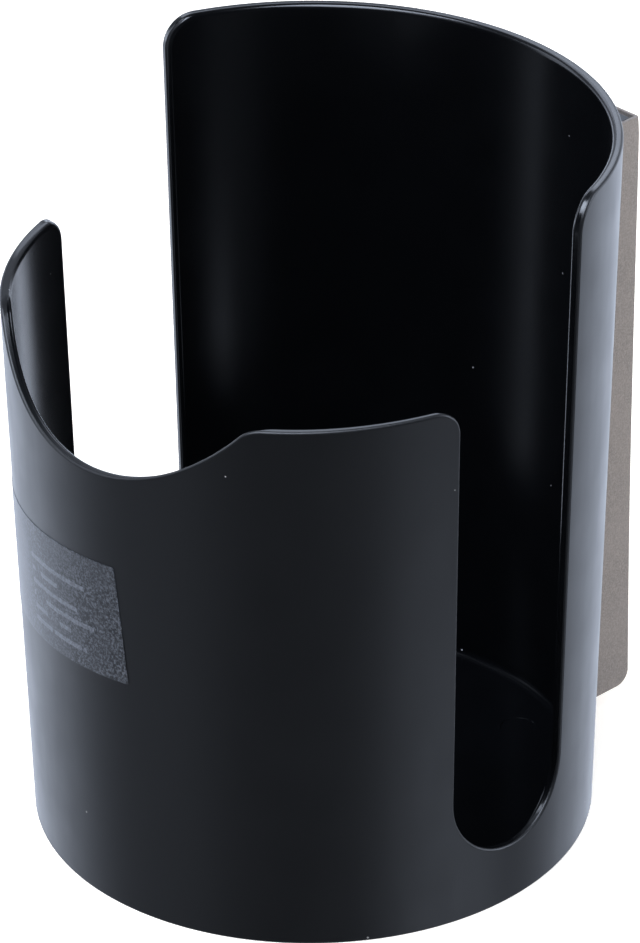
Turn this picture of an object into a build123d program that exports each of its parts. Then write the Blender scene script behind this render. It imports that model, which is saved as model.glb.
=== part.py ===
"""Magnetic cup holder: a tapered open-sided cup with a screwed-on magnet pack under a rubber boot.

Frame: origin on the cup's axis at its standing face, +Z up, the low front towards -Y, the magnets
towards +Y, and the two handle slots at -X and +X. Millimetres.
"""
from math import asin, cos, degrees, hypot, radians, sin, tan
import os

from build123d import *

os.makedirs("parts", exist_ok=True)

# ---- cup ----------------------------------------------------------------------------------
base_radius = 46.0            # outer radius at the standing face
wall_draft = 0.0263           # growth of the radius for each millimetre of height
wall = 1.9                    # wall thickness
back_height = 120.4           # top of the tall back
front_height = 94.2           # low front, beside the slots
shoulder_height = 93.65       # low front, beside the scoop
front_sweep = 195.0           # radius of its slight rise from the scoop to the slots
scoop_height = 79.75          # lowest point of the thumb scoop
scoop_radius = 36.0           # hollow part of the scoop
shoulder_radius = 4.0         # rounding between the scoop and the low front
floor_top = 3.6               # where a cup stands
floor_fillet = 1.3            # between floor and wall inside
rim_round = 0.45              # rounding of every free outer edge
inner_round = 0.9             # rounding of every free inner edge
base_round = 0.4              # rounding of the lowest outer edge
underside_depth = 1.3         # ring-shaped hollow under the floor
underside_inner = 15.0
underside_outer = 41.0
underside_taper = 20          # slope of its sides, in degrees
ejector_radius = 3.0          # round witness marks of the mould on the floor
ejector_depth = 0.12
ejector_circle = 36.5
ejector_count = 4
ejector_first_angle = 67.0    # first mark, counted from +X

# ---- handle slots -------------------------------------------------------------------------
slot_half_angle = 14.7        # seen from the cup's axis
slot_bottom = 10.6
front_corner_round = 4.2
back_corner_round = 5.6

# ---- mounting pad on the cup's back ---------------------------------------------------------
pad_face = 51.0               # distance of the pad's flat face from the axis
pad_half_width = 14.4
pad_bottom = 4.6
pad_top = 106.6
pad_rib = 1.6
boss_radius = 4.0
pilot_radius = 1.2            # hole that the screws cut their thread in
pilot_depth = 4.2

# ---- magnet pack -----------------------------------------------------------------------------
boot_half_width = 16.0
boot_rear = 58.6
boot_bottom = 2.6
boot_top = 109.0
boot_skin = 0.6
boot_corner = 2.8             # rounding of the boot's lower rear edge
boot_edge = 0.5               # rounding of its other outer edges
boot_gap = 0.1                # between the boot and what it touches
boot_slack = 0.5              # room behind the magnets, where the boot bows in

tray_half_width = boot_half_width - boot_skin - boot_gap
tray_rear = boot_rear - boot_skin - boot_slack
tray_bottom = boot_bottom + boot_skin + boot_gap
tray_top = 108.6
tray_floor = 1.5
tray_chamfer = 0.4            # around its visible top
tray_corner = 0.8             # rounding of its upright rear corners

plate_thickness = 1.2
plate_corner = 1.5
magnet_width = 25.6
magnet_height = 27.0
magnet_thickness = 3.6
magnet_chamfer = 0.5
screw_space = 9.0             # between two magnets, for a screw head
nib_inner = 10.0              # half the space between the nibs that keep the magnets apart
fit_gap = 0.1                 # clearance of the plate and the magnets in the tray

screw_head_radius = 2.75
screw_shank_radius = 1.15
screw_hole_radius = 1.6
screw_length = 6.4
recess_length = 3.0
recess_width = 0.8
recess_depth = 0.9
recess_taper = 12             # slope of its sides, in degrees

# ---- label -----------------------------------------------------------------------------------
label_thickness = 0.12
label_width = 56.0
label_height = 20.6
label_middle_height = 51.4
label_middle_angle = 25.2     # from the front towards -X
label_tilt = 4.5
label_corner = 0.4


def outer_radius(z):
    return base_radius + wall_draft * z


def wall_depth(corner):
    """Distance of a point from the cup's outside, towards the axis."""
    return outer_radius(corner.Z) - hypot(corner.X, corner.Y)


def spans_the_wall(shape):
    """True for a face or an edge of the cup that runs from the outer side of the wall to the inner."""
    depths = [wall_depth(corner) for corner in shape.vertices()]
    return len(depths) > 1 and abs(min(depths)) < near and abs(max(depths) - wall) < near


def short_edges_beside_slots(height):
    """The edges across the wall beside the slots, at about one height."""
    across = cup_body.edges().filter_by(lambda edge: abs(edge.length - wall) < wall / 3)
    beside = across.filter_by(lambda edge: abs(edge.center().X) > slot_inner_reach)
    return beside.filter_by_position(Axis.Z, height - about, height + about)


def outer_profile(grow, low, high):
    """Half section of a solid cone that follows the cup's outside, grown by grow."""
    return [(0, low), (outer_radius(low) + grow, low), (outer_radius(high) + grow, high), (0, high)]


clear_of_cup = 60.0           # past the cup's side, for cuts

# Points on the scoop's outline, seen from the front: a hollow arc meets two raised shoulder arcs.
shoulder_drop = shoulder_height - scoop_height
arc_sum = scoop_radius + shoulder_radius
shoulder_x = (arc_sum**2 - (arc_sum - shoulder_drop) ** 2) ** 0.5
meeting = scoop_radius / arc_sum
meeting_x = shoulder_x * meeting
meeting_z = scoop_height + scoop_radius - (arc_sum - shoulder_drop) * meeting
lean = degrees(asin(shoulder_x / arc_sum)) / 2
shoulder_mid_x = shoulder_x - shoulder_radius * sin(radians(lean))
shoulder_mid_z = shoulder_height - shoulder_radius * (1 - cos(radians(lean)))

# The rise of the low front from its shoulders to past the slots
sweep_x = clear_of_cup - shoulder_x
sweep_mid_z = shoulder_height + front_sweep - (front_sweep**2 - sweep_x**2 / 4) ** 0.5
sweep_end_z = shoulder_height + front_sweep - (front_sweep**2 - sweep_x**2) ** 0.5

clear_of_top = back_height + clear_of_cup / 4
slot_inner_reach = 30.0       # inside the cup, where the slots' cutters begin
near = 0.05                   # how close two lengths are to count as the same
about = 1.0                   # how far an edge may be from the height it is looked for at

# ---- cup_body -----------------------------------------------------------------------------------
magnet_pitch = magnet_height + screw_space
tray_middle = (tray_bottom + tray_top) / 2
screw_heights = [tray_middle - magnet_pitch / 2, tray_middle + magnet_pitch / 2]

with BuildPart() as cup_body:
    # Flat pad for the magnet pack: a frame with cross ribs and two screw bosses
    with BuildSketch(Plane.XZ.offset(-pad_face)):
        with Locations((0, (pad_bottom + pad_top) / 2)):
            Rectangle(2 * pad_half_width, pad_top - pad_bottom)
            Rectangle(2 * (pad_half_width - pad_rib), pad_top - pad_bottom - 2 * pad_rib, mode=Mode.SUBTRACT)
            Rectangle(2 * pad_half_width, pad_rib)
            Rectangle(pad_rib, pad_top - pad_bottom)
        with Locations(*[(0, height) for height in screw_heights]):
            Circle(boss_radius)
    extrude(amount=pad_face - base_radius + 2 * wall)
    # Outside of the cup
    with BuildSketch(Plane.XZ):
        with BuildLine():
            Polyline(*outer_profile(0, 0, back_height), close=True)
        make_face()
        fillet(vertices().group_by(Axis.Y)[0].sort_by(Axis.X)[-1], base_round)
    revolve(axis=Axis.Z)
    # Inside of the cup, with its rounded lower corner
    with BuildSketch(Plane.XZ):
        with BuildLine():
            Polyline(*outer_profile(-wall, floor_top, clear_of_top), close=True)
        make_face()
        fillet(vertices().group_by(Axis.Y)[0].sort_by(Axis.X)[-1], floor_fillet)
    revolve(axis=Axis.Z, mode=Mode.SUBTRACT)
    # Hollow ring under the floor
    with BuildSketch(Plane.XY):
        Circle(underside_outer)
        Circle(underside_inner, mode=Mode.SUBTRACT)
    extrude(amount=underside_depth, taper=underside_taper, mode=Mode.SUBTRACT)
    # Low front with its scoop, cut from the axis forwards
    with BuildSketch(Plane.XZ):
        with BuildLine():
            shoulder = ThreePointArc(
                (meeting_x, meeting_z), (shoulder_mid_x, shoulder_mid_z), (shoulder_x, shoulder_height)
            )
            sweep = ThreePointArc(
                (shoulder_x, shoulder_height),
                (shoulder_x + sweep_x / 2, sweep_mid_z),
                (clear_of_cup, sweep_end_z),
            )
            mirror([shoulder, sweep], about=Plane.YZ)
            ThreePointArc((-meeting_x, meeting_z), (0, scoop_height), (meeting_x, meeting_z))
            Polyline(
                (clear_of_cup, sweep_end_z),
                (clear_of_cup, clear_of_top),
                (-clear_of_cup, clear_of_top),
                (-clear_of_cup, sweep_end_z),
            )
        make_face()
    extrude(amount=clear_of_cup, mode=Mode.SUBTRACT)
    # Handle slots, with side walls that point at the axis
    for side in (-1, 1):
        for reach in (slot_inner_reach, clear_of_cup):
            half_width = reach * tan(radians(slot_half_angle))
            with BuildSketch(Plane.YZ.offset(side * reach)):
                with BuildLine():
                    ThreePointArc(
                        (-half_width, slot_bottom + half_width),
                        (0, slot_bottom),
                        (half_width, slot_bottom + half_width),
                    )
                    Polyline(
                        (half_width, slot_bottom + half_width),
                        (half_width, clear_of_top),
                        (-half_width, clear_of_top),
                        (-half_width, slot_bottom + half_width),
                    )
                make_face()
        loft(mode=Mode.SUBTRACT)
    # Rounded upper corners beside the slots
    fillet(short_edges_beside_slots(front_height), front_corner_round)
    fillet(short_edges_beside_slots(back_height), back_corner_round)
    # Pilot holes of the two screws, and the mould's round witness marks on the floor
    with BuildSketch(Plane.XZ.offset(-pad_face)):
        with Locations(*[(0, height) for height in screw_heights]):
            Circle(pilot_radius)
    extrude(amount=pilot_depth, mode=Mode.SUBTRACT)
    with BuildSketch(Plane.XY.offset(floor_top)):
        with PolarLocations(ejector_circle, ejector_count, start_angle=ejector_first_angle):
            Circle(ejector_radius)
    extrude(amount=-ejector_depth, mode=Mode.SUBTRACT)
    # Rounded free edges all round the rim, the scoop and the slots, first inside and then outside
    rim_faces = cup_body.faces().filter_by(spans_the_wall)
    rim_edges = ShapeList(
        edge for face in rim_faces for edge in face.edges() if not spans_the_wall(edge)
    )
    outside_middles = [edge.center() for edge in rim_edges if abs(wall_depth(edge.vertices()[0])) < near]
    fillet(rim_edges.filter_by(lambda edge: edge.center() not in outside_middles), inner_round)
    fillet(
        cup_body.edges().filter_by(
            lambda edge: any((edge.center() - middle).length < near for middle in outside_middles)
        ),
        rim_round,
    )
cup_body.part.label = "cup_body"
export_step(cup_body.part, "parts/cup_body.step")

# ---- magnet_housing: a tray that opens to the rear --------------------------------------------
plate_front = pad_face + tray_floor
magnet_front = plate_front + plate_thickness
tray_height = tray_top - tray_bottom
pocket_height = 3 * magnet_height + 2 * screw_space + 2 * fit_gap
pocket_half_width = magnet_width / 2 + fit_gap
with BuildPart() as magnet_housing:
    with BuildSketch(Plane.XZ.offset(-pad_face)):
        with Locations((0, tray_middle)):
            Rectangle(2 * tray_half_width, tray_height)
    extrude(amount=pad_face - tray_rear)
    rear_face = magnet_housing.faces().sort_by(Axis.Y)[-1]
    fillet(rear_face.edges().sort_by(Axis.Z)[0], boot_corner - boot_skin)
    fillet(magnet_housing.edges().filter_by(Axis.Z).group_by(Axis.Y)[-1], tray_corner)
    top_edges = magnet_housing.faces().sort_by(Axis.Z)[-1].edges()
    chamfer(top_edges.sort_by(Axis.Y)[1:], tray_chamfer)
    # Pocket for the plate and the magnets, with nibs between the magnets
    with BuildSketch(Plane.XZ.offset(-plate_front)):
        with Locations((0, tray_middle)):
            Rectangle(2 * pocket_half_width, pocket_height)
    extrude(amount=plate_front - tray_rear, mode=Mode.SUBTRACT)
    with BuildSketch(Plane.XZ.offset(-magnet_front)):
        with Locations(*[(0, height) for height in screw_heights]):
            Rectangle(2 * pocket_half_width, screw_space - 2 * fit_gap)
            Rectangle(2 * nib_inner, screw_space, mode=Mode.SUBTRACT)
    extrude(amount=magnet_front - tray_rear)
    with BuildSketch(Plane.XZ.offset(-pad_face)):
        with Locations(*[(0, height) for height in screw_heights]):
            Circle(screw_hole_radius)
    extrude(amount=pad_face - plate_front, mode=Mode.SUBTRACT)
magnet_housing.part.label = "magnet_housing"
export_step(magnet_housing.part, "parts/magnet_housing.step")

# ---- yoke_plate ---------------------------------------------------------------------------------
with BuildPart() as yoke_plate:
    with BuildSketch(Plane.XZ.offset(-plate_front)):
        with Locations((0, tray_middle)):
            RectangleRounded(magnet_width, pocket_height - 2 * fit_gap, plate_corner)
    extrude(amount=-plate_thickness)
    with Locations(Plane.XZ.offset(-magnet_front).rotated((180, 0, 0))):
        with Locations(*[(0, -height) for height in screw_heights]):
            CounterSinkHole(screw_hole_radius, screw_head_radius + fit_gap, counter_sink_angle=90)
yoke_plate.part.label = "yoke_plate"
export_step(yoke_plate.part, "parts/yoke_plate.step")

# ---- magnets --------------------------------------------------------------------------------------
for step, place in ((-1, "lower"), (0, "middle"), (1, "upper")):
    with BuildPart() as magnet:
        with BuildSketch(Plane.XZ.offset(-magnet_front)):
            with Locations((0, tray_middle + step * magnet_pitch)):
                Rectangle(magnet_width - 2 * fit_gap, magnet_height)
        extrude(amount=-magnet_thickness)
        chamfer(magnet.edges().filter_by(Axis.Y), magnet_chamfer)
        chamfer(magnet.faces().sort_by(Axis.Y)[-1].edges(), magnet_chamfer / 2)
    magnet.part.label = f"magnet_{place}"
    export_step(magnet.part, f"parts/magnet_{place}.step")

# ---- housing_screws: countersunk, heads flush with the plate -----------------------------------------
with BuildPart() as housing_screws:
    for height in screw_heights:
        with BuildSketch(Plane.YZ):
            with BuildLine():
                Polyline(
                    (magnet_front, height),
                    (magnet_front, height + screw_head_radius),
                    (magnet_front - screw_head_radius + screw_shank_radius, height + screw_shank_radius),
                    (magnet_front - screw_length + screw_shank_radius, height + screw_shank_radius),
                    (magnet_front - screw_length, height),
                    close=True,
                )
            make_face()
        revolve(axis=Axis((0, 0, height), (0, 1, 0)))
    # Cross recess in each head
    with BuildSketch(Plane.XZ.offset(-magnet_front)):
        with Locations(*[(0, height) for height in screw_heights]):
            Rectangle(recess_length, recess_width)
            Rectangle(recess_width, recess_length)
    extrude(amount=recess_depth, taper=recess_taper, mode=Mode.SUBTRACT)
housing_screws.part.label = "housing_screws"
export_step(housing_screws.part, "parts/housing_screws.step")

# ---- magnet_boot: a thin sleeve, closed below and behind, open above and towards the cup -------------
with BuildPart() as magnet_boot:
    with BuildSketch(Plane.XY.offset(boot_bottom)):
        with Locations((0, boot_rear / 2)):
            Rectangle(2 * boot_half_width, boot_rear)
    extrude(amount=boot_top - boot_bottom)
    rear_edges = magnet_boot.faces().sort_by(Axis.Y)[-1].edges()
    fillet(rear_edges.filter_by(Axis.X).sort_by(Axis.Z)[0], boot_corner)
    outline = magnet_boot.faces().sort_by(Axis.X)
    side_edges = ShapeList(outline[0].edges() + outline[-1].edges())
    below_top = side_edges.filter_by(lambda edge: edge.center().Z < boot_top - near)
    fillet(below_top.filter_by(lambda edge: edge.center().Y > near), boot_edge)
    # Space for the pack
    with BuildSketch(Plane.YZ):
        with BuildLine():
            Polyline(
                (0, boot_bottom + boot_skin),
                (boot_rear - boot_skin, boot_bottom + boot_skin),
                (boot_rear - boot_skin, clear_of_top),
                (0, clear_of_top),
                close=True,
            )
        make_face()
        lowest = vertices().group_by(Axis.Y)[-1].sort_by(Axis.Z)[0]
        fillet(lowest, boot_corner - boot_skin)
    extrude(amount=boot_half_width - boot_skin, both=True, mode=Mode.SUBTRACT)
    # Front edges that follow the cup
    with BuildSketch(Plane.XZ):
        with BuildLine():
            Polyline(*outer_profile(boot_gap, 0, back_height), close=True)
        make_face()
    revolve(axis=Axis.Z, mode=Mode.SUBTRACT)
magnet_boot.part.label = "magnet_boot"
export_step(magnet_boot.part, "parts/magnet_boot.step")

# ---- label: a thin film round the cup ------------------------------------------------------------------
label_radius = outer_radius(label_middle_height)
label_direction = radians(label_middle_angle)
label_plane = Plane(
    origin=(0, 0, label_middle_height),
    x_dir=(cos(label_direction), -sin(label_direction), 0),
    z_dir=(-sin(label_direction), -cos(label_direction), 0),
)
with BuildPart() as label:
    with BuildSketch(Plane.XZ):
        with BuildLine():
            Polyline(
                (outer_radius(0), 0),
                (outer_radius(0) + label_thickness, 0),
                (outer_radius(back_height) + label_thickness, back_height),
                (outer_radius(back_height), back_height),
                close=True,
            )
        make_face()
    revolve(axis=Axis.Z)
    with BuildSketch(label_plane):
        seen_width = 2 * label_radius * sin(label_width / 2 / label_radius)
        RectangleRounded(seen_width, label_height, label_corner, rotation=label_tilt)
    extrude(amount=clear_of_cup, mode=Mode.INTERSECT)
label.part.label = "label"
export_step(label.part, "parts/label.step")
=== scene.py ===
"""Looks for the magnetic cup holder: finer meshes, materials, studio and camera round the CAD model.

Metres, in the CAD frame: origin on the cup's axis at its standing face, +Z up, the low front towards -Y.
"""

from math import asin, atan, cos, hypot, pi, radians, sin, tan

import bmesh
import bpy
import numpy as np
from mathutils import Matrix, Vector, noise
from mathutils.geometry import delaunay_2d_cdt


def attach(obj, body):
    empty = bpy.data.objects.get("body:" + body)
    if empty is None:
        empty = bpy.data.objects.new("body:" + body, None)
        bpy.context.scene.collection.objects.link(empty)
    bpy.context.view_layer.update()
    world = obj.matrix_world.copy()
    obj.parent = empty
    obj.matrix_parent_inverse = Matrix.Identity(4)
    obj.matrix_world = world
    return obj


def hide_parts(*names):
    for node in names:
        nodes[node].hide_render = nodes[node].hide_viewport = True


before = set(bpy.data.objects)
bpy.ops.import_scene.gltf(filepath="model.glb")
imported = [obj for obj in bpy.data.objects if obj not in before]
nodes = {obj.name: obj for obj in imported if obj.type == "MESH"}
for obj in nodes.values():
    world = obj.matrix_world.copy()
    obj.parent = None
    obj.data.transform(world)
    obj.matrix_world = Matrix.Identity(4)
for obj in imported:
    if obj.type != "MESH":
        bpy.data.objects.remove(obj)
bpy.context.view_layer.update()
scene = bpy.context.scene

mm = 0.001

# ---- driving sizes of the finer meshes, as in the CAD part -------------------------------------
base_radius = 46.0 * mm
wall_draft = 0.0263
wall = 1.9 * mm
back_height = 120.4 * mm
front_height = 94.2 * mm
shoulder_height = 93.65 * mm
front_sweep = 195.0 * mm
scoop_height = 79.75 * mm
scoop_radius = 36.0 * mm
shoulder_radius = 4.0 * mm
front_corner = 4.2 * mm
back_corner = 5.6 * mm
slot_half_angle = radians(14.7)
slot_bottom = 10.6 * mm
rim_round = 0.45 * mm
inner_round = 0.9 * mm
floor_top = 3.6 * mm
floor_fillet = 1.3 * mm
base_round = 0.4 * mm
underside_depth = 1.3 * mm
underside_inner = 15.0 * mm
underside_outer = 41.0 * mm
underside_slope = radians(20)
ejector_radius = 3.0 * mm
ejector_depth = 0.12 * mm
ejector_circle = 36.5 * mm
ejector_first_angle = radians(67)
ejector_count = 4
ejector_edge_tilt = 1.5             # slope of the normals on a mark's edge
# Share of a mark's radius, and share of its depth there
ejector_profile = ((1.0, 0.0), (0.985, 0.25), (0.97, 0.75), (0.955, 1.0), (0.0, 1.0))

ring_steps = 240                    # divisions of a full turn
grid_rise = 2.5 * mm                # spacing of the wall's grid along its height
floor_grid = 3.0 * mm               # spacing of the floor's grid
round_steps = 7                     # divisions of a rounded edge
slant = (1 + wall_draft**2) ** 0.5


# ---- mesh helpers ------------------------------------------------------------------------------
class Skin:
    """Collects faces and points with their true surface normals, and makes one smooth object of them."""

    def __init__(self):
        self.mesh = bmesh.new()
        self.normal = self.mesh.verts.layers.float_vector.new("normal")

    def point(self, place, normal):
        vertex = self.mesh.verts.new(place)
        vertex[self.normal] = Vector(normal).normalized()
        return vertex

    def face(self, vertices):
        """Adds a face, turned so that it agrees with its points' normals."""
        vertices = list(dict.fromkeys(vertices))
        if len(vertices) < 3:
            return
        a, b, c = vertices[:3]
        lean = (b.co - a.co).cross(c.co - a.co)
        if lean.dot(a[self.normal] + b[self.normal] + c[self.normal]) < 0:
            vertices = vertices[::-1]
        self.mesh.faces.new(vertices)

    def strip(self, rows, closed=False):
        """Joins rows of points with quads. A closed strip also joins the ends of each row."""
        for low, high in zip(rows, rows[1:]):
            last = len(low) if closed else len(low) - 1
            for i in range(last):
                j = (i + 1) % len(low)
                self.face([low[i], low[j], high[j], high[i]])

    def finish(self, name, material):
        bmesh.ops.remove_doubles(self.mesh, verts=self.mesh.verts, dist=0.0005 * mm)
        data = bpy.data.meshes.new(name)
        self.mesh.to_mesh(data)
        self.mesh.free()
        normals = [Vector(item.vector) for item in data.attributes["normal"].data]
        data.attributes.remove(data.attributes["normal"])
        data.shade_smooth()
        data.normals_split_custom_set_from_vertices(normals)
        return add_piece(name, data, material)


def add_piece(name, data, material):
    piece = bpy.data.objects.new(name, data)
    scene.collection.objects.link(piece)
    data.materials.append(material)
    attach(piece, "root")
    return piece


def fill_outline(outline, holes, spacing_x, spacing_y, clear):
    """Triangles over a flat outline with holes: returns the points, and the triangles as indices."""
    flat = list(outline)
    edges = [(i, (i + 1) % len(outline)) for i in range(len(outline))]
    for hole in holes:
        start = len(flat)
        flat += hole
        edges += [(start + i, start + (i + 1) % len(hole)) for i in range(len(hole))]
    border = np.array(flat)
    ends = border[[end for start, end in edges]]
    across = np.arange(border[:, 0].min() + spacing_x / 2, border[:, 0].max(), spacing_x)
    up = np.arange(border[:, 1].min() + spacing_y / 2, border[:, 1].max(), spacing_y)
    for y in up:
        for x in across:
            if np.hypot(border[:, 0] - x, border[:, 1] - y).min() < clear:
                continue
            crosses = (border[:, 1] > y) != (ends[:, 1] > y)
            runs, rises = ends[:, 0] - border[:, 0], ends[:, 1] - border[:, 1]
            with np.errstate(divide="ignore", invalid="ignore"):
                reach = border[:, 0] + (y - border[:, 1]) * runs / rises
            if (crosses & (x < reach)).sum() % 2:
                flat.append((x, y))
    scale = 1 / mm
    scaled = [Vector(p) * scale for p in flat]
    inside_only = 1
    merge_below = 1e-5
    points, _, triangles, _, _, _ = delaunay_2d_cdt(scaled, edges, [], inside_only, merge_below)
    kept = []
    for triangle in triangles:
        middle = sum((points[i] for i in triangle), Vector((0, 0))) / 3
        if all(not inside(middle / scale, hole) for hole in holes):
            kept.append(triangle)
    return [p / scale for p in points], kept


def inside(point, loop):
    """True where a point is inside a round loop, judged by its middle and radius."""
    middle = sum((Vector(p) for p in loop), Vector((0, 0))) / len(loop)
    return (point - middle).length < (Vector(loop[0]) - middle).length


def turned(angle):
    """Unit vector away from the cup's axis, at an angle from the front towards +X."""
    return Vector((sin(angle), -cos(angle), 0))


def outer_radius(z):
    return base_radius + wall_draft * z


def wall_point(angle, z, depth=0.0):
    """Point in the cup's wall: depth 0 is its outside, and depth wall its inside."""
    return turned(angle) * (outer_radius(z) - depth) + Vector((0, 0, z))


def wall_normal(angle):
    return (turned(angle) - Vector((0, 0, wall_draft))).normalized()


# ---- cup: outline of the rim -------------------------------------------------------------------
def samples(first, last, count):
    return [first + (last - first) * i / count for i in range(count + 1)]


def beside_plane(distance, z, depth):
    """Angle between a plane through the axis and a point of the wall at a distance from it."""
    return asin(distance / (outer_radius(z) - depth))


def rim_half():
    """The rim from the middle of the front to the middle of the back, on its +X side.

    Each entry is (outer angle, outer height, inner angle, inner height).
    """
    path = []

    def both(make):
        outer_angle, outer_z = make(0.0)
        inner_angle, inner_z = make(wall)
        path.append((outer_angle, outer_z, inner_angle, inner_z))

    arc_sum = scoop_radius + shoulder_radius
    drop = shoulder_height - scoop_height
    shoulder_x = (arc_sum**2 - (arc_sum - drop) ** 2) ** 0.5
    lean = asin(shoulder_x / arc_sum)
    for t in samples(0, lean, 34):
        x, z = scoop_radius * sin(t), scoop_height + scoop_radius * (1 - cos(t))
        both(lambda depth: (beside_plane(x, z, depth), z))
    for t in samples(lean, 0, 8)[1:]:
        x, z = shoulder_x - shoulder_radius * sin(t), shoulder_height - shoulder_radius * (1 - cos(t))
        both(lambda depth: (beside_plane(x, z, depth), z))
    near_plane = pi / 2 - slot_half_angle
    far_plane = pi / 2 + slot_half_angle

    def sweep(angle, depth):
        x = (outer_radius(front_height) - depth) * sin(angle)
        return angle, shoulder_height + front_sweep - (front_sweep**2 - (x - shoulder_x) ** 2) ** 0.5

    def before_corner(depth):
        return near_plane - beside_plane(front_corner, front_height, depth)

    first = {0.0: path[-1][0], wall: path[-1][2]}
    for share in samples(0, 1, 22)[1:]:
        both(lambda depth: sweep(first[depth] * (1 - share) + before_corner(depth) * share, depth))
    top = {0.0: path[-1][1], wall: path[-1][3]}
    for t in samples(0, pi / 2, 12)[1:]:
        d, drop = front_corner * (1 - sin(t)), front_corner * (1 - cos(t))
        both(lambda depth: (near_plane - beside_plane(d, top[depth] - drop, depth), top[depth] - drop))
    start_outer, start_inner = path[-1][1], path[-1][3]
    bottom = [slot_arc(-pi / 2, depth) for depth in (0, wall)]
    for share in samples(0, 1, 26)[1:-1]:
        outer_z = start_outer + share * (bottom[0][1] - start_outer)
        inner_z = start_inner + share * (bottom[1][1] - start_inner)
        path.append((near_plane, outer_z, near_plane, inner_z))
    for t in samples(-pi / 2, pi / 2, 36):
        both(lambda depth: slot_arc(t, depth))
    end = back_height - back_corner
    for share in samples(0, 1, 38)[1:-1]:
        outer_z = bottom[0][1] + share * (end - bottom[0][1])
        inner_z = bottom[1][1] + share * (end - bottom[1][1])
        path.append((far_plane, outer_z, far_plane, inner_z))
    for t in samples(pi / 2, 0, 14):
        d, z = back_corner * (1 - sin(t)), back_height - back_corner * (1 - cos(t))
        both(lambda depth: (far_plane + beside_plane(d, z, depth), z))
    from_outer, from_inner = path[-1][0], path[-1][2]
    for share in samples(0, 1, 46)[1:]:
        outer_angle = from_outer + share * (pi - from_outer)
        inner_angle = from_inner + share * (pi - from_inner)
        path.append((outer_angle, back_height, inner_angle, back_height))
    return path


def slot_arc(t, depth):
    """Angle and height on the round bottom of a slot, for t from -90 to 90 degrees."""
    off = atan(tan(slot_half_angle) * sin(t))
    z = slot_bottom
    for _ in range(4):
        reach = (outer_radius(z) - depth) * cos(off)
        z = slot_bottom + reach * tan(slot_half_angle) * (1 - cos(t))
    return pi / 2 + off, z


def full_rim():
    half = rim_half()
    other = [(-a, b, -c, d) for a, b, c, d in reversed(half[1:])]
    return other + half


def inward(path, i, angle_at, z_at, depth):
    """Direction (along the turn, along the height) from the rim into the wall, in its surface."""
    before, after = path[max(i - 1, 0)], path[min(i + 1, len(path) - 1)]
    radius = outer_radius(path[i][z_at]) - depth
    along = (after[angle_at] - before[angle_at]) * radius
    rise = (after[z_at] - before[z_at]) * slant
    length = hypot(along, rise)
    return rise / length, -along / length


def rim_side(path, angle_at, z_at, depth, out, rounding):
    """The rounded edge on one side of the rim.

    Returns rows of (place, normal) from the wall to the rim's face, and the flat outline (turn, height)
    where the rounding leaves the wall.
    """
    rows = [[] for _ in range(round_steps + 1)]
    outline = []
    for i, entry in enumerate(path):
        angle, z = entry[angle_at], entry[z_at]
        turn, rise = inward(path, i, angle_at, z_at, depth)
        radius = outer_radius(z) - depth
        edge_angle, edge_z = angle + rounding * turn / radius, z + rounding * rise / slant
        outline.append((edge_angle * base_radius, edge_z))
        normal = wall_normal(angle) * out
        e_turn = Vector((cos(angle), sin(angle), 0))
        e_rise = (turned(angle) * wall_draft + Vector((0, 0, 1))).normalized()
        into = e_turn * turn + e_rise * rise
        middle = wall_point(angle, z, depth) + (into - normal) * rounding
        for step, row in enumerate(rows):
            a = pi / 2 * step / round_steps
            direction = normal * cos(a) - into * sin(a)
            place = middle + direction * rounding
            if step == 0:
                place, direction = wall_point(edge_angle, edge_z, depth), wall_normal(edge_angle) * out
            place.z = min(place.z, back_height)
            row.append((place, direction))
    return rows, outline


def add_wall(skin, outline, low_z, depth, out):
    """One side of the wall, from a level circle up to the rim's outline, opened out at the back."""
    edge = pi * base_radius
    outline[0] = (-edge, outline[0][1])
    outline[-1] = (edge, outline[-1][1])
    top = outline[-1][1]
    seam = samples(low_z, top, round((top - low_z) / grid_rise))[1:-1]
    loop = [(x, low_z) for x in samples(-edge, edge, ring_steps)]
    loop += [(edge, z) for z in seam] + outline[::-1] + [(-edge, z) for z in reversed(seam)]
    spacing = 2 * edge / ring_steps
    points, triangles = fill_outline(loop, [], spacing, grid_rise, 0.55 * spacing)
    made = []
    for x, z in points:
        angle = x / base_radius
        made.append(skin.point(wall_point(angle, z, depth), wall_normal(angle) * out))
    for triangle in triangles:
        skin.face([made[i] for i in triangle])


def add_turned(skin, profile):
    """Turns a profile of (radius, height, normal outwards, normal upwards) round the axis."""
    angles = samples(-pi, pi, ring_steps)[:-1]
    rows = []
    for radius, z, out, up in profile:
        if radius == 0:
            rows.append([skin.point((0, 0, z), (0, 0, up))] * ring_steps)
        else:
            row = []
            for a in angles:
                place = turned(a) * radius + Vector((0, 0, z))
                row.append(skin.point(place, turned(a) * out + Vector((0, 0, up))))
            rows.append(row)
    skin.strip(rows, closed=True)


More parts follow.
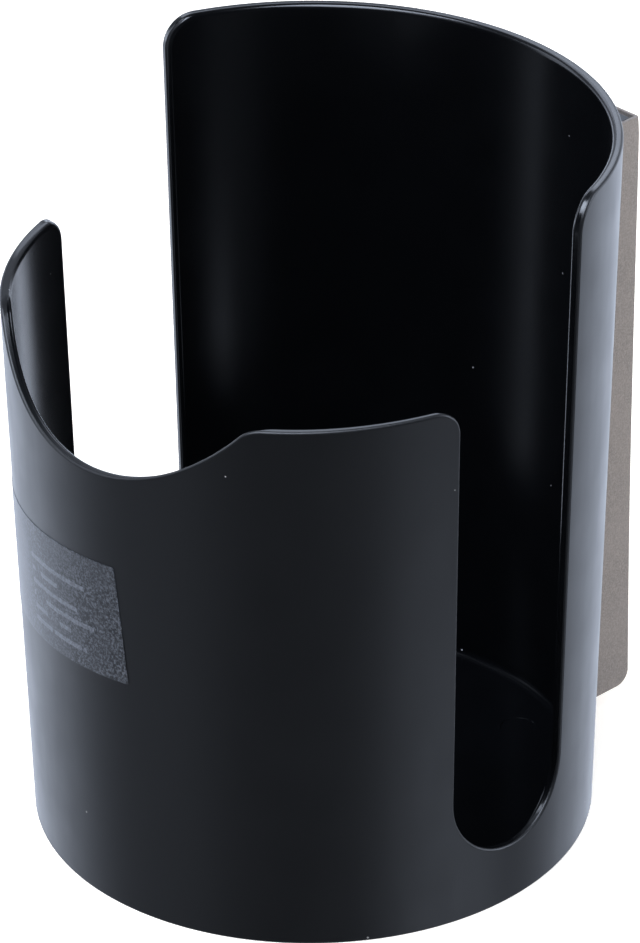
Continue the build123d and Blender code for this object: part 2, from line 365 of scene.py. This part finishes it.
def add_floor(skin, radius):
    """The floor inside the cup, with the mould's round witness marks."""
    rim = [tuple((turned(a) * radius).xy) for a in samples(-pi, pi, ring_steps)[:-1]]
    marks = []
    for k in range(ejector_count):
        angle = ejector_first_angle + k * 2 * pi / ejector_count
        middle = Vector((cos(angle), sin(angle))) * ejector_circle
        circle = samples(0, 2 * pi, 48)[:-1]
        marks.append([middle + Vector((cos(a), sin(a))) * ejector_radius for a in circle])
    up = Vector((0, 0, 1))
    holes = [[tuple(p) for p in mark] for mark in marks]
    points, triangles = fill_outline(rim, holes, floor_grid, floor_grid, 0.4 * floor_grid)
    made = [skin.point((x, y, floor_top), up) for x, y in points]
    for triangle in triangles:
        skin.face([made[i] for i in triangle])
    for mark in marks:
        middle = sum(mark, Vector((0, 0))) / len(mark)
        rows = []
        for share, drop in ejector_profile:
            tilt = 0.0 if drop in (0.0, 1.0) else ejector_edge_tilt
            z = floor_top - drop * ejector_depth
            row = []
            for p in mark:
                out = (p - middle).normalized()
                flat = middle + (p - middle) * share
                row.append(skin.point((flat.x, flat.y, z), (-out.x * tilt, -out.y * tilt, 1)))
            rows.append(row)
        skin.strip(rows, closed=True)


def build_cup(material):
    skin = Skin()
    path = full_rim()
    outer_rows, outer_outline = rim_side(path, 0, 1, 0.0, 1, rim_round)
    inner_rows, inner_outline = rim_side(path, 2, 3, wall, -1, inner_round)
    middle_row = []
    for outer, inner in zip(outer_rows[-1], inner_rows[-1]):
        middle_row.append(((outer[0] + inner[0]) / 2, outer[1] + inner[1]))
    rows = outer_rows + [middle_row] + inner_rows[::-1]
    skin.strip([[skin.point(*entry) for entry in row] for row in rows])
    # Lower outside edge, foot ring, hollow ring and middle disc
    arc = []
    start = atan(wall_draft)
    centre = outer_radius(base_round) - base_round * slant
    for t in samples(-start, -pi / 2, round_steps):
        arc.append((centre + base_round * cos(t), base_round * (1 + sin(t)), cos(t), sin(t)))
    slope = tan(underside_slope) * underside_depth
    ease = 0.15 * mm
    under = [
        (underside_outer + ease, 0, 0, -1),
        (underside_outer - ease * tan(underside_slope), ease, -1, -0.4),
        (underside_outer - slope + ease * tan(underside_slope), underside_depth - ease, -1, -0.4),
        (underside_outer - slope - ease, underside_depth, 0, -1),
        (underside_inner + slope + ease, underside_depth, 0, -1),
        (underside_inner + slope - ease * tan(underside_slope), underside_depth - ease, 1, -0.4),
        (underside_inner + ease * tan(underside_slope), ease, 1, -0.4),
        (underside_inner - ease, 0, 0, -1),
        (0, 0, 0, -1),
    ]
    add_turned(skin, arc + under)
    add_wall(skin, outer_outline, arc[0][1], 0.0, 1)
    # Rounded corner between the wall and the floor
    centre = outer_radius(floor_top + floor_fillet) - wall - floor_fillet * slant
    corner = []
    for t in samples(-start, -pi / 2, round_steps + 3):
        radius, z = centre + floor_fillet * cos(t), floor_top + floor_fillet * (1 + sin(t))
        corner.append((radius, z, -cos(t), -sin(t)))
    add_turned(skin, corner)
    add_wall(skin, inner_outline, corner[0][1], wall, -1)
    add_floor(skin, centre)
    cup = skin.finish("cup_shell", material)
    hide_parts("cup_body")
    return cup


# ---- label -------------------------------------------------------------------------------------
label_width = 56.0 * mm
label_height = 20.6 * mm
label_thickness = 0.12 * mm
label_middle_height = 51.4 * mm
label_middle_angle = radians(-25.2)
label_tilt = radians(4.5)
label_corner = 0.4 * mm
# Rows of plain bars in place of print
bar_rows = 6
bar_pitch = 2.25 * mm
bar_height_share = 0.36             # of the pitch
bar_start = 7.4 * mm                # lowest row, below the label's middle
bar_length = 4.2 * mm               # usual length of a bar
bar_gap_share = 0.37
bar_left = 4.0 * mm                 # from the label's middle to the rows' left ends
bar_right = 14.0 * mm               # and to the shortest row's right end
bar_raggedness = 10.0 * mm
golden_share = 0.618                # spreads the rows' ends evenly
row_shift = 3.7                     # keeps the rows' gaps apart


def on_label(s, t, lift):
    """Place and normal of the label's point s along it and t up it, lifted off the cup."""
    z = label_middle_height + (s * sin(label_tilt) + t * cos(label_tilt)) / slant
    turn = s * cos(label_tilt) - t * sin(label_tilt)
    angle = label_middle_angle + turn / outer_radius(z)
    return wall_point(angle, z, -lift), wall_normal(angle)


def rounded_outline(width, height, corner, step):
    """Anticlockwise outline of a rectangle with round corners, about its middle."""
    loop = []
    corners = ((1, -1, -pi / 2), (1, 1, 0), (-1, 1, pi / 2), (-1, -1, pi))
    for side, end, first in corners:
        x, y = side * (width / 2 - corner), end * (height / 2 - corner)
        loop += [(x + corner * cos(a), y + corner * sin(a)) for a in samples(first, first + pi / 2, 8)]
    closed = []
    for (x0, y0), (x1, y1) in zip(loop, loop[1:] + loop[:1]):
        count = max(1, round(hypot(x1 - x0, y1 - y0) / step))
        closed += [(x0 + (x1 - x0) * i / count, y0 + (y1 - y0) * i / count) for i in range(count)]
    return closed


def build_label(material):
    """A film that follows the cup, a little wavy where air stayed under it."""
    skin = Skin()
    grid = 1.0 * mm
    outline = rounded_outline(label_width, label_height, label_corner, grid)
    points, triangles = fill_outline(outline, [], grid, grid, grid / 2)
    edge_round = 0.05 * mm
    wave_size = 5.0 * mm
    wave_height = 0.035 * mm
    calm_border = 2.5 * mm
    core_half = label_width / 2 - label_corner

    def lift(s, t):
        border = min(label_width / 2 - abs(s), label_height / 2 - abs(t))
        share = min(1.0, max(0.0, border / calm_border))
        wave = noise.noise(Vector((s, t, 0)) / wave_size)
        return label_thickness - wave_height + wave_height * share * wave

    def lifted_normal(s, t):
        d = 0.2 * mm
        here = on_label(s, t, lift(s, t))[0]
        along = on_label(s + d, t, lift(s + d, t))[0] - here
        up = on_label(s, t + d, lift(s, t + d))[0] - here
        return here, along.cross(up)

    top = []
    for s, t in points:
        place, normal = lifted_normal(s, t)
        top.append(skin.point(place, normal))
    for triangle in triangles:
        skin.face([top[i] for i in triangle])
    rows = [[], [], []]
    for s, t in outline:
        flat_out = Vector((s - max(-1, min(1, 2 * s / label_width)) * core_half, t)).normalized()
        place, normal = on_label(s, t, lift(s, t))
        foot = on_label(s, t, 0)[0]
        side = (on_label(s + flat_out.x * mm, t + flat_out.y * mm, 0)[0] - foot).normalized()
        rows[0].append(skin.point(place, normal))
        rows[1].append(skin.point(place + side * edge_round - normal * edge_round, side + normal))
        rows[2].append(skin.point(foot + side * edge_round, side))
    skin.strip(rows, closed=True)
    label = skin.finish("label_sheet", material)
    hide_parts("label")
    return label


# ---- boot --------------------------------------------------------------------------------------
boot_half_width = 16.0 * mm
boot_rear = 58.6 * mm
boot_bottom = 2.6 * mm
boot_top = 109.0 * mm
boot_skin = 0.6 * mm
boot_corner = 2.8 * mm
boot_edge = 0.5 * mm
boot_gap = 0.1 * mm
boot_lip_round = 0.14 * mm
# How its rear face bows in, with heights as shares of the boot's
hollow_depth = 0.42 * mm
hollow_end = 0.95
hollow_skew = 0.8                   # below 1 moves the deepest point down
hollow_fullness = 1.2
lip_depth = 0.30 * mm
lip_start = 0.965
shrinkage = 0.05 * mm
# The stretch of wall, from front to rear, over which the bow grows to its full depth
bow_start = 50 * mm
bow_length = 7 * mm
# Slight unevenness of its open edge
ripple_reach = 1.5 * mm
ripple_height = 0.10 * mm
ripple_size = 4 * mm


def block(half_width, front, rear, low, high):
    made = bmesh.new()
    bmesh.ops.create_cube(made, size=1)
    for vertex in made.verts:
        x, y, z = vertex.co + Vector((0.5, 0.5, 0.5))
        vertex.co = ((2 * x - 1) * half_width, front + y * (rear - front), low + z * (high - low))
    return made


def round_edges(made, test, radius, steps):
    edges = [edge for edge in made.edges if test(*[vertex.co for vertex in edge.verts])]
    bmesh.ops.bevel(
        made, geom=edges, offset=radius, segments=steps, profile=0.5, affect="EDGES", clamp_overlap=False
    )


def close_to(a, b):
    return abs(a - b) < 0.01 * mm


def as_object(made, name):
    data = bpy.data.meshes.new(name)
    made.to_mesh(data)
    made.free()
    piece = bpy.data.objects.new(name, data)
    scene.collection.objects.link(piece)
    return piece


def cut_away(piece, cutters):
    """Returns piece's mesh less the cutters, and removes them all."""
    for cutter in cutters:
        cut = piece.modifiers.new(cutter.name, "BOOLEAN")
        cut.operation = "DIFFERENCE"
        cut.solver = "EXACT"
        cut.object = cutter
    graph = bpy.context.evaluated_depsgraph_get()
    data = bpy.data.meshes.new_from_object(piece.evaluated_get(graph))
    for gone in [piece, *cutters]:
        bpy.data.objects.remove(gone)
    return data


def boot_block(inset, front, high):
    """The boot's outer form, or with an inset the space in it."""
    half_width, rear, low = boot_half_width - inset, boot_rear - inset, boot_bottom + inset
    made = block(half_width, front, rear, low, high)

    def is_lower_rear(a, b):
        return all(close_to(p.y, rear) and close_to(p.z, low) for p in (a, b))

    def outlines_side(a, b):
        beside = all(close_to(abs(p.x), half_width) for p in (a, b)) and close_to(a.x, b.x)
        at_top = all(close_to(p.z, high) for p in (a, b))
        at_front = all(close_to(p.y, front) for p in (a, b))
        return beside and not at_top and not at_front

    round_edges(made, is_lower_rear, boot_corner - inset, 12)
    round_edges(made, outlines_side, max(boot_edge - inset, 0.15 * mm), 5)
    return made


def bow(z):
    """How far the rear face lies inside the flat one: hollow at mid height and pulled in at its top."""
    share = (z - boot_bottom) / (boot_top - boot_bottom)
    hollow = 0.0
    if share < hollow_end:
        hollow = hollow_depth * sin(pi * (share / hollow_end) ** hollow_skew) ** hollow_fullness
    lip = lip_depth * max(0.0, (share - lip_start) / (1 - lip_start)) ** 2
    return hollow + lip + shrinkage


def slice_at(made, place, normal):
    """Adds a row of edges where a plane crosses the mesh."""
    everything = made.verts[:] + made.edges[:] + made.faces[:]
    bmesh.ops.bisect_plane(made, geom=everything, plane_co=place, plane_no=normal)


def build_boot(material):
    """A thin rubber sleeve, slightly uneven along its open edge."""
    outer_front = 30 * mm
    spare = 10 * mm
    outer = as_object(boot_block(0.0, outer_front, boot_top), "outer")
    inner = as_object(boot_block(boot_skin, outer_front - spare, boot_top + 2 * spare), "inner")
    cone = bmesh.new()
    low, high = -spare / 2, boot_top + 3 * spare
    bmesh.ops.create_cone(
        cone, cap_ends=True, segments=3 * ring_steps, depth=high - low,
        radius1=outer_radius(low) + boot_gap, radius2=outer_radius(high) + boot_gap,
    )
    bmesh.ops.translate(cone, verts=cone.verts, vec=(0, 0, (low + high) / 2))
    data = cut_away(outer, [inner, as_object(cone, "cone")])
    made = bmesh.new()
    made.from_mesh(data)
    bpy.data.meshes.remove(data)
    bmesh.ops.remove_doubles(made, verts=made.verts, dist=0.002 * mm)
    round_edges(made, lambda a, b: all(close_to(p.z, boot_top) for p in (a, b)), boot_lip_round, 3)
    for x in samples(-boot_half_width + 1 * mm, boot_half_width - 1 * mm, 15):
        slice_at(made, (x, 0, 0), (1, 0, 0))
    for z in samples(boot_bottom + 4 * mm, boot_top - 1 * mm, 50):
        slice_at(made, (0, 0, z), (0, 0, 1))
    for vertex in made.verts:
        co = vertex.co
        co.y -= bow(co.z) * min(1.0, max(0.0, (co.y - bow_start) / bow_length))
        near_top = max(0.0, 1 - (boot_top - co.z) / ripple_reach)
        co.z -= near_top * ripple_height * (1 + noise.noise(co / ripple_size))
    bmesh.ops.triangulate(made, faces=[face for face in made.faces if len(face.verts) > 4])
    data = bpy.data.meshes.new("boot_sleeve")
    made.to_mesh(data)
    made.free()
    data.shade_smooth()
    data.set_sharp_from_angle(angle=radians(35))
    boot = add_piece("boot_sleeve", data, material)
    weigh = boot.modifiers.new("even_shading", "WEIGHTED_NORMAL")
    weigh.keep_sharp = True
    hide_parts("magnet_boot")
    return boot


# ---- node-tree helpers -------------------------------------------------------------------------
class Shader:
    """A new material's node tree, with short calls for adding and wiring nodes."""

    def __init__(self, name):
        self.material = bpy.data.materials.new(name)
        self.material.use_nodes = True
        self.tree = self.material.node_tree
        self.surface = self.tree.nodes["Principled BSDF"]
        self.place = self.add("ShaderNodeTexCoord").outputs["Object"]

    def add(self, kind, inputs=None, **settings):
        node = self.tree.nodes.new(kind)
        for key, value in settings.items():
            setattr(node, key, value)
        for key, value in (inputs or {}).items():
            self.wire(value, node.inputs[key])
        return node

    def wire(self, value, socket):
        """Links an output socket, or sets a plain value."""
        if isinstance(value, bpy.types.NodeSocket):
            self.tree.links.new(value, socket)
        else:
            socket.default_value = value

    def set(self, name, value):
        self.wire(value, self.surface.inputs[name])

    def noise(self, size, detail=2.0, roughness=0.5, stretch=None):
        """Noise with features about size metres across, from 0 to 1."""
        place = self.place
        if stretch:
            place = self.add("ShaderNodeMapping", {"Vector": place, "Scale": stretch}).outputs[0]
        inputs = {"Vector": place, "Scale": 1 / size, "Detail": detail, "Roughness": roughness}
        return self.add("ShaderNodeTexNoise", inputs).outputs["Fac"]

    def remap(self, value, low, high, to_low, to_high):
        inputs = {"Value": value, "From Min": low, "From Max": high, "To Min": to_low, "To Max": to_high}
        return self.add("ShaderNodeMapRange", inputs).outputs["Result"]

    def spread(self, noise, to_low, to_high):
        """A noise, whose values mostly lie from 0.3 to 0.7, taken to another range."""
        return self.remap(noise, 0.3, 0.7, to_low, to_high)

    def math(self, operation, *values):
        node = self.add("ShaderNodeMath", operation=operation)
        for value, socket in zip(values, node.inputs):
            self.wire(value, socket)
        return node.outputs[0]

    def mix(self, factor, a, b):
        node = self.add("ShaderNodeMix", data_type="RGBA")
        self.wire(factor, node.inputs["Factor"])
        self.wire(a, node.inputs["A"])
        self.wire(b, node.inputs["B"])
        return node.outputs["Result"]

    def bump(self, height, strength, distance, normal=None):
        inputs = {"Height": height, "Strength": strength, "Distance": distance}
        if normal:
            inputs["Normal"] = normal
        return self.add("ShaderNodeBump", inputs).outputs["Normal"]

    def split(self, vector):
        return self.add("ShaderNodeSeparateXYZ", {"Vector": vector}).outputs

    def blend(self, factor, a, b):
        """A number between a and b."""
        node = self.add("ShaderNodeMix", data_type="FLOAT")
        for key, value in (("Factor", factor), ("A", a), ("B", b)):
            self.wire(value, node.inputs[key])
        return node.outputs["Result"]

    def specks(self, spacing, size, rarity):
        """1 in small round specks, one for each few cells spacing metres apart, and 0 elsewhere."""
        inputs = {"Vector": self.place, "Scale": 1 / spacing, "Randomness": 1.0}
        cells = self.add("ShaderNodeTexVoronoi", inputs)
        near = self.math("LESS_THAN", cells.outputs["Distance"], size)
        pick = self.add("ShaderNodeSeparateColor", {"Color": cells.outputs["Color"]}).outputs[0]
        return self.math("MULTIPLY", near, self.math("GREATER_THAN", pick, rarity))


def grey(level, tint=(1, 1, 1)):
    return tuple(level * part for part in tint) + (1,)


# The studio's light is cool, so neutral and warm paints lean against it
COOL = (0.9, 1.0, 1.2)
NEUTRAL = (1.0, 1.0, 1.0)
TAUPE = (1.2, 1.0, 0.84)


def black_plastic():
    """Black moulded plastic: satin outside, polished inside and on its rims, with fine grain and dust."""
    s = Shader("cup_plastic")
    x, y, z = s.split(s.place)
    radius = s.math("SQRT", s.math("ADD", s.math("MULTIPLY", x, x), s.math("MULTIPLY", y, y)))
    outside = s.math("MULTIPLY_ADD", z, wall_draft, base_radius)
    depth = s.math("SUBTRACT", outside, radius)
    polished = s.remap(depth, 0.2 * mm, 0.6 * mm, 0.0, 1.0)
    inside = s.remap(depth, wall - 0.30 * mm, wall - 0.08 * mm, 0.0, 1.0)
    cloud = s.noise(9 * mm, 3)
    streaks = s.noise(3 * mm, 4, stretch=(1, 1, 0.12))
    satin = s.math("ADD", s.spread(cloud, 0.43, 0.47), s.spread(streaks, -0.012, 0.012))
    gloss = s.blend(inside, s.spread(cloud, 0.15, 0.19), s.spread(cloud, 0.20, 0.23))
    specks = s.specks(7 * mm, 0.024, 0.42)
    rough = s.blend(polished, satin, gloss)
    s.set("Roughness", s.blend(specks, rough, 0.8))
    above_floor = s.remap(z, 4.0 * mm, 6.5 * mm, 0.05, 0.26)
    s.set("Specular IOR Level", s.blend(inside, 0.5, above_floor))
    body = s.mix(cloud, grey(0.0012, COOL), grey(0.0020, COOL))
    s.set("Base Color", s.mix(specks, body, grey(0.20)))
    grain = s.math("MULTIPLY", s.noise(0.35 * mm, 2), s.remap(polished, 0.0, 1.0, 1.0, 0.12))
    waves = s.noise(11 * mm, 1)
    fine = s.bump(grain, 0.5, 0.004 * mm)
    s.set("Normal", s.bump(waves, 0.35, 0.06 * mm, fine))
    return s.material


def boot_rubber():
    """Taupe rubber with a sandy grain and slight mottling, paler where it was rubbed."""
    s = Shader("boot_rubber")
    sand = s.noise(0.30 * mm, 3, 0.65)
    mottle = s.noise(1.6 * mm, 3, 0.6)
    cloud = s.noise(14 * mm, 2)
    tone = s.mix(s.remap(sand, 0.34, 0.66, 0.0, 1.0), grey(0.088, TAUPE), grey(0.182, TAUPE))
    tone = s.mix(s.remap(mottle, 0.35, 0.65, 0.0, 0.30), tone, grey(0.105, TAUPE))
    tone = s.mix(s.remap(cloud, 0.4, 0.65, 0.0, 0.25), tone, grey(0.17, TAUPE))
    s.set("Base Color", tone)
    s.set("Roughness", s.spread(sand, 0.72, 0.9))
    s.set("Sheen Weight", 0.15)
    s.set("Sheen Roughness", 0.6)
    coarse = s.bump(mottle, 0.4, 0.05 * mm)
    s.set("Normal", s.bump(sand, 0.7, 0.05 * mm, coarse))
    return s.material


def label_film():
    """Thin satin film, slightly bluish and mottled, with worn rows of plain bars in place of print."""
    s = Shader("label_film")
    x, y, z = s.split(s.place)
    turn = s.math("SUBTRACT", s.math("ARCTAN2", x, s.math("MULTIPLY", y, -1.0)), label_middle_angle)
    along = s.math("MULTIPLY", turn, outer_radius(label_middle_height))
    up = s.math("SUBTRACT", z, label_middle_height)
    side = s.math("MULTIPLY_ADD", up, sin(label_tilt), s.math("MULTIPLY", along, cos(label_tilt)))
    level = s.math("MULTIPLY_ADD", along, -sin(label_tilt), s.math("MULTIPLY", up, cos(label_tilt)))
    step = s.math("DIVIDE", s.math("ADD", level, bar_start), bar_pitch)
    row = s.math("FLOOR", step)
    in_row = s.math("LESS_THAN", s.math("FRACT", step), bar_height_share)
    stagger = s.math("FRACT", s.math("MULTIPLY_ADD", row, golden_share, 0.55))
    row_end = s.math("MULTIPLY_ADD", stagger, bar_raggedness, bar_right)
    steps = {"X": s.math("DIVIDE", side, bar_length), "Y": s.math("MULTIPLY", row, row_shift)}
    place = s.add("ShaderNodeCombineXYZ", steps).outputs[0]
    ragged = s.add("ShaderNodeTexNoise", {"Vector": place, "Scale": 1.0, "Detail": 0.0}).outputs["Fac"]
    in_bar = s.math("GREATER_THAN", ragged, bar_gap_share)
    past_left = s.math("GREATER_THAN", side, bar_left)
    in_width = s.math("MULTIPLY", past_left, s.math("LESS_THAN", side, row_end))
    from_middle_row = s.math("ABSOLUTE", s.math("SUBTRACT", row, (bar_rows - 1) / 2))
    in_block = s.math("MULTIPLY", in_width, s.math("LESS_THAN", from_middle_row, bar_rows / 2))
    bars = s.math("MULTIPLY", s.math("MULTIPLY", in_row, in_bar), in_block)
    mottle = s.noise(0.45 * mm, 4, 0.75)
    cloud = s.noise(6 * mm, 3)
    worn = s.math("MULTIPLY", bars, s.remap(mottle, 0.42, 0.60, 0.34, 0.60))
    tone = s.mix(s.remap(mottle, 0.44, 0.62, 0.0, 1.0), grey(0.004, COOL), grey(0.075, COOL))
    tone = s.mix(s.remap(cloud, 0.35, 0.65, 0.0, 0.3), tone, grey(0.030, COOL))
    s.set("Base Color", s.mix(worn, tone, grey(0.13, COOL)))
    s.set("Roughness", s.spread(mottle, 0.40, 0.52))
    s.set("Normal", s.bump(mottle, 0.35, 0.008 * mm))
    return s.material


def tray_plastic():
    """Dark moulded plastic with a faint dull grain."""
    s = Shader("tray_plastic")
    cloud = s.noise(2 * mm, 3)
    s.set("Base Color", s.mix(cloud, grey(0.010, COOL), grey(0.018, COOL)))
    s.set("Roughness", s.spread(cloud, 0.34, 0.46))
    s.set("Normal", s.bump(s.noise(0.3 * mm, 2), 0.4, 0.01 * mm))
    return s.material


def plated_steel(name, lay):
    """Zinc plate with a rolled lay along one direction and slight clouding."""
    s = Shader(name)
    lines = s.noise(0.25 * mm, 3, stretch=lay)
    cloud = s.noise(5 * mm, 3)
    s.set("Base Color", s.mix(cloud, grey(0.48, NEUTRAL), grey(0.62, NEUTRAL)))
    s.set("Metallic", 1.0)
    s.set("Roughness", s.math("ADD", s.spread(lines, 0.24, 0.36), s.spread(cloud, -0.04, 0.04)))
    s.set("Normal", s.bump(lines, 0.3, 0.01 * mm))
    return s.material


def ferrite():
    """Charcoal sintered ferrite with ground faces and small pits."""
    s = Shader("ferrite")
    pits = s.noise(0.5 * mm, 4, 0.7)
    s.set("Base Color", s.mix(s.remap(pits, 0.3, 0.6, 0.0, 1.0), grey(0.02), grey(0.05)))
    s.set("Roughness", s.spread(pits, 0.65, 0.45))
    s.set("Specular IOR Level", 0.7)
    s.set("Normal", s.bump(pits, 0.5, 0.03 * mm))
    return s.material


def paint(node, material):
    """Gives a CAD node that stays a new material in each of its slots."""
    for slot in nodes[node].material_slots:
        slot.material = material


build_cup(black_plastic())
build_boot(boot_rubber())
build_label(label_film())
paint("magnet_housing", tray_plastic())
paint("yoke_plate", plated_steel("plate_steel", (1, 1, 0.05)))
paint("housing_screws", plated_steel("screw_steel", (1, 0.2, 1)))
magnet_paint = ferrite()
for node in ("magnet_lower", "magnet_middle", "magnet_upper"):
    paint(node, magnet_paint)

# ---- stage -------------------------------------------------------------------------------------
def rectangle(name, middle, side, rise, width, height):
    """Flat rectangle about a point, along two unit vectors."""
    corners = []
    for x, y in ((-1, -1), (1, -1), (1, 1), (-1, 1)):
        corners.append(middle + side * (x * width / 2) + rise * (y * height / 2))
    mesh = bpy.data.meshes.new(name)
    mesh.from_pydata(corners, [], [(0, 1, 2, 3)])
    sheet = bpy.data.objects.new(name, mesh)
    scene.collection.objects.link(sheet)
    return sheet


floor_size = 6.0
x_axis, y_axis = Vector((1, 0, 0)), Vector((0, 1, 0))
floor = rectangle("floor", Vector((0, 0, 0)), x_axis, y_axis, floor_size, floor_size)
floor_paint = Shader("floor")
floor_paint.set("Base Color", grey(0.9, (1.0, 0.9, 0.75)))
floor_paint.set("Roughness", 0.9)
floor_paint.set("Emission Color", grey(1.0))
floor_paint.set("Emission Strength", 0.6)
floor.data.materials.append(floor_paint.material)
floor.visible_glossy = False
floor.visible_shadow = False

# ---- camera ------------------------------------------------------------------------------------
view_azimuth = radians(47.04)       # 0 looks along +Y
camera_reach = 0.77112
camera_height = 0.49206
camera_pan = radians(0.121)
camera_tilt = radians(29.265)
camera_roll = radians(-0.623)
focal_ratio = 5.8516                # focal length over the long side of the picture
sensor = 36.0

camera_data = bpy.data.cameras.new("camera")
camera_data.sensor_width = sensor
camera_data.lens = focal_ratio * sensor
camera_data.clip_start = 0.01
camera = bpy.data.objects.new("camera", camera_data)
turn = (
    Matrix.Rotation(view_azimuth - camera_pan, 4, "Z")
    @ Matrix.Rotation(pi / 2 - camera_tilt, 4, "X")
    @ Matrix.Rotation(camera_roll, 4, "Z")
)
place = Vector((camera_reach * sin(view_azimuth), -camera_reach * cos(view_azimuth), camera_height))
camera.matrix_world = Matrix.Translation(place) @ turn
scene.collection.objects.link(camera)
scene.camera = camera


# ---- lights ------------------------------------------------------------------------------------
def softbox(name, azimuth, height, reach, size, power, aim=(0, 0, 0.06)):
    """Area light at an azimuth counted from the camera's side, turned to the object."""
    data = bpy.data.lights.new(name, "AREA")
    data.shape = "RECTANGLE"
    data.size, data.size_y = size
    data.energy = power
    data.color = studio_tint
    light = bpy.data.objects.new(name, data)
    angle = view_azimuth + radians(azimuth)
    spot = Vector((reach * sin(angle), -reach * cos(angle), height))
    facing = (spot - Vector(aim)).to_track_quat("Z", "Y")
    light.matrix_world = Matrix.Translation(spot) @ facing.to_matrix().to_4x4()
    scene.collection.objects.link(light)
    return light


studio_tint = (0.9, 1.0, 1.2)
softbox("left_softbox", -110, 0.40, 1.1, (0.5, 0.9), 3)
softbox("right_softbox", 90, 0.40, 1.1, (0.5, 0.8), 9)
softbox("back_softbox", 180, 0.86, 1.05, (1.2, 0.42), 2.9)
softbox("top_softbox", -40, 1.15, 0.55, (1.1, 0.8), 28)
softbox("rim_card", 171, 0.66, 1.2, (0.26, 0.14), 0.2)
softbox("left_card", -54, -0.14, 0.34, (0.22, 0.26), 0.07, aim=(0, 0, 0.02))
softbox("low_card", 53, -0.20, 0.34, (0.26, 0.16), 0.21, aim=(0, 0, 0.02))


def flag(name, across, ahead, height, size, glow, level=False):
    """Dim card that only reflections see, upright or level, placed across and along the view."""
    right = Vector((cos(view_azimuth), sin(view_azimuth), 0))
    away = Vector((-sin(view_azimuth), cos(view_azimuth), 0))
    up = Vector((0, 0, 1))
    middle = right * across + away * ahead + up * height
    card = rectangle(name, middle, right, away if level else up, *size)
    card_paint = Shader(name)
    card_paint.set("Base Color", grey(0.0))
    card_paint.set("Specular IOR Level", 0.0)
    card_paint.set("Emission Color", grey(1.0, studio_tint))
    card_paint.set("Emission Strength", glow)
    card.data.materials.append(card_paint.material)
    card.visible_camera = False
    card.visible_diffuse = False
    card.visible_shadow = False


flag("slot_flag", -0.010, 0.100, 0.045, (0.10, 0.10), 1.2)
flag("tip_flag", -0.054, 0.031, 0.235, (0.052, 0.26), 0.5)
flag("cap_flag", -0.054, -0.010, 0.200, (0.052, 0.10), 0.5, level=True)


world_turn = radians(3.5)           # from the view's direction to the surround's brightest part


def studio_world():
    """A pale surround that is dim on the camera's side."""
    world = bpy.data.worlds.new("studio")
    world.use_nodes = True
    tree = world.node_tree
    coordinate = tree.nodes.new("ShaderNodeTexCoord")
    away = tree.nodes.new("ShaderNodeVectorMath")
    away.operation = "DOT_PRODUCT"
    bright_azimuth = view_azimuth + world_turn
    away.inputs[1].default_value = (-sin(bright_azimuth), cos(bright_azimuth), 0)
    tree.links.new(coordinate.outputs["Generated"], away.inputs[0])
    share = tree.nodes.new("ShaderNodeMapRange")
    share.inputs["From Min"].default_value = -1
    tree.links.new(away.outputs["Value"], share.inputs["Value"])
    ramp = tree.nodes.new("ShaderNodeValToRGB")
    tree.links.new(share.outputs["Result"], ramp.inputs[0])
    ramp.color_ramp.interpolation = "EASE"
    # Place from the camera's side (0) to the far side (1), and brightness there
    stops = ((0.06, 0.055), (0.34, 0.02), (0.47, 0.02), (0.97, 1.0))
    elements = ramp.color_ramp.elements
    while len(elements) < len(stops):
        elements.new(0.5)
    for element, (position, value) in zip(elements, stops):
        element.position = position
        element.color = (value, value, value, 1)
    parts = tree.nodes.new("ShaderNodeSeparateXYZ")
    tree.links.new(coordinate.outputs["Generated"], parts.inputs[0])
    rise = tree.nodes.new("ShaderNodeMapRange")
    tree.links.new(parts.outputs["Z"], rise.inputs["Value"])
    for name, value in (("From Min", 0.0), ("From Max", 0.25), ("To Min", 2.7), ("To Max", 0.4)):
        rise.inputs[name].default_value = value
    level = tree.nodes.new("ShaderNodeMath")
    level.operation = "MULTIPLY"
    tree.links.new(rise.outputs["Result"], level.inputs[1])
    tree.links.new(ramp.outputs["Color"], level.inputs[0])
    surround = tree.nodes["Background"]
    surround.inputs["Color"].default_value = (*studio_tint, 1)
    tree.links.new(level.outputs[0], surround.inputs["Strength"])
    backdrop = tree.nodes.new("ShaderNodeBackground")
    backdrop.inputs["Color"].default_value = (0.93, 0.93, 0.93, 1)
    seen = tree.nodes.new("ShaderNodeLightPath")
    choose = tree.nodes.new("ShaderNodeMixShader")
    tree.links.new(seen.outputs["Is Camera Ray"], choose.inputs[0])
    tree.links.new(surround.outputs[0], choose.inputs[1])
    tree.links.new(backdrop.outputs[0], choose.inputs[2])
    tree.links.new(choose.outputs[0], tree.nodes["World Output"].inputs[0])
    return world


scene.world = studio_world()
scene.view_settings.view_transform = "Standard"

bpy.context.view_layer.update()
